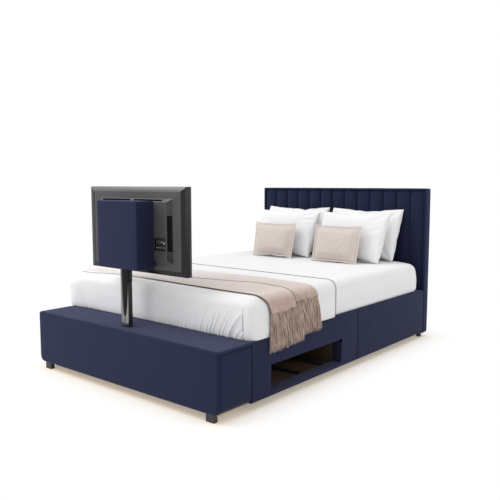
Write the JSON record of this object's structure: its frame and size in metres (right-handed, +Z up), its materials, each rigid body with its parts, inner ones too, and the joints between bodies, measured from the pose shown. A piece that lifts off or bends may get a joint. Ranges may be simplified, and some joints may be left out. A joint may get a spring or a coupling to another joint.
{
  "type": "television bed",
  "caption": "Upholstered double bed with a television on a swivelling column in its padded footboard, channelled headboard, side bay, made up with bedding.",
  "frame": {"origin": "on the floor, under the middle of the whole bed", "axes": "+Z up, +Y towards the headboard, +X to the side with the open bay"},
  "size_m": [1.5432, 2.322, 1.127],
  "materials": {
    "navy_cloth": "tight woven upholstery cloth over foam",
    "plywood": "bare plywood",
    "brown_board": "dark brown faced board",
    "black_plastic": "black moulded plastic",
    "grey_plastic": "satin dark grey moulded plastic",
    "dark_glass": "dark screen that is switched off",
    "black_steel": "gloss black powder coat",
    "bright_steel": "zinc plated",
    "dark_chrome": "dark polished chrome",
    "bronze": "plain bearing bronze",
    "white_cotton": "plain white cotton",
    "beige_cloth": "beige woven cloth with a piped edge",
    "taupe_wool": "taupe knit with fringed ends"
  },
  "bodies": {
    "bed": {"footboard_front_panel": "navy_cloth", "footboard_left_end": "navy_cloth", "footboard_right_end": "navy_cloth", "footboard_lid": "navy_cloth", "footboard_rear_board": "plywood", "footboard_floor_board": "plywood", "column_socket": "black_steel", "column": "black_steel", "column_cover": "dark_chrome", "cable_grommet": "black_plastic", "column_cable": "black_plastic", "swivel_spindle": "bright_steel", "swivel_washer": "bronze", "swivel_nut": "bright_steel", "left_front_rail": "navy_cloth", "right_front_rail": "navy_cloth", "left_rear_rail": "navy_cloth", "right_rear_rail": "navy_cloth", "front_base_foot_board": "plywood", "front_base_head_board": "plywood", "rear_base_foot_board": "plywood", "rear_base_head_board": "plywood", "front_centre_beam": "plywood", "rear_centre_beam": "plywood", "front_platform": "plywood", "rear_platform": "plywood", "bay_floor": "brown_board", "bay_back": "brown_board", "bay_foot_end": "brown_board", "bay_head_end": "brown_board", "bay_batten_1": "black_plastic", "bay_batten_2": "black_plastic", "left_joining_plate": "bright_steel", "right_joining_plate": "bright_steel", "front_left_foot": "black_plastic", "front_right_foot": "black_plastic", "middle_left_foot": "black_plastic", "middle_right_foot": "black_plastic", "rear_left_foot": "black_plastic", "rear_right_foot": "black_plastic", "headboard_board": "navy_cloth", "headboard_channel_pad": "navy_cloth", "mattress": "white_cotton", "coverlet": "white_cotton", "throw": "taupe_wool", "back_left_pillow": "white_cotton", "back_right_pillow": "white_cotton", "front_left_pillow": "white_cotton", "front_right_pillow": "white_cotton", "left_cushion": "beige_cloth", "right_cushion": "beige_cloth"},
    "tv_head": {"swivel_sleeve": "black_steel", "tv_bracket": "black_steel", "tv_box_cover": "navy_cloth", "tv_rear_cover": "grey_plastic", "tv_connector_tray": "black_plastic", "tv_bezel": "black_plastic", "tv_screen": "dark_glass"},
    "power_key": {"tv_power_key": "black_plastic"}
  },
  "joints": [
    {"name": "tv_swivel", "type": "hinge", "parent": "bed", "child": "tv_head", "pos_m": [0, -1.077, 0.75], "axis": [0, 0, 1], "range_deg": [-45, 45]},
    {"name": "power_key_press", "type": "slide", "parent": "tv_head", "child": "power_key", "axis": [0, 0, 1], "range_m": [0, 0.0012], "stiffness_N_per_m": 400, "springref_m": -0.001}
  ]
}
